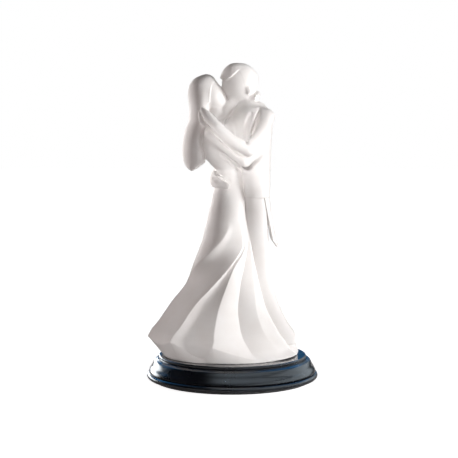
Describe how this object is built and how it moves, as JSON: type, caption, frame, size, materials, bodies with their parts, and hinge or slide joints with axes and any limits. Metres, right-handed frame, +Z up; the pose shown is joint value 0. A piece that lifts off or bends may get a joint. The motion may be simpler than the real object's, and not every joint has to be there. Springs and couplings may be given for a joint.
{
  "type": "wedding couple figurine",
  "caption": "Smooth faceless bride and groom embracing, cast in satin white resin, on a round moulded black base with a felt underside.",
  "frame": {"origin": "on the axis of the round base, at the underside of its felt", "axes": "+Z up; +X towards the groom's side; -Y is the near side that the picture shows"},
  "size_m": [0.1334, 0.1334, 0.2463],
  "materials": {
    "figure_resin": "satin, faintly translucent warm white cast resin",
    "black_lacquer": "black gloss lacquer over turned wood",
    "felt": "short black felt",
    "zinc_steel": "bright zinc plating"
  },
  "bodies": {
    "root": {"base_plinth": "black_lacquer", "felt_pad": "felt", "fixing_screw_1": "zinc_steel", "fixing_screw_2": "zinc_steel", "screw_washer_1": "zinc_steel", "screw_washer_2": "zinc_steel", "gown_skirt": "figure_resin", "gown_bodice": "figure_resin", "bride_head": "figure_resin", "bride_hair": "figure_resin", "bride_right_upper_arm": "figure_resin", "bride_right_forearm": "figure_resin", "bride_right_hand": "figure_resin", "bride_left_upper_arm": "figure_resin", "bride_left_forearm": "figure_resin", "bride_left_hand": "figure_resin", "groom_head": "figure_resin", "groom_hair": "figure_resin", "groom_left_ear": "figure_resin", "groom_right_ear": "figure_resin", "groom_collar": "figure_resin", "groom_jacket": "figure_resin", "groom_left_coat_tail": "figure_resin", "groom_right_coat_tail": "figure_resin", "groom_left_upper_arm": "figure_resin", "groom_left_forearm": "figure_resin", "groom_left_hand": "figure_resin", "groom_right_upper_arm": "figure_resin", "groom_right_forearm": "figure_resin", "groom_right_hand": "figure_resin", "groom_left_trouser_leg": "figure_resin", "groom_right_trouser_leg": "figure_resin", "groom_left_shoe": "figure_resin", "groom_right_shoe": "figure_resin"}
  },
  "joints": []
}
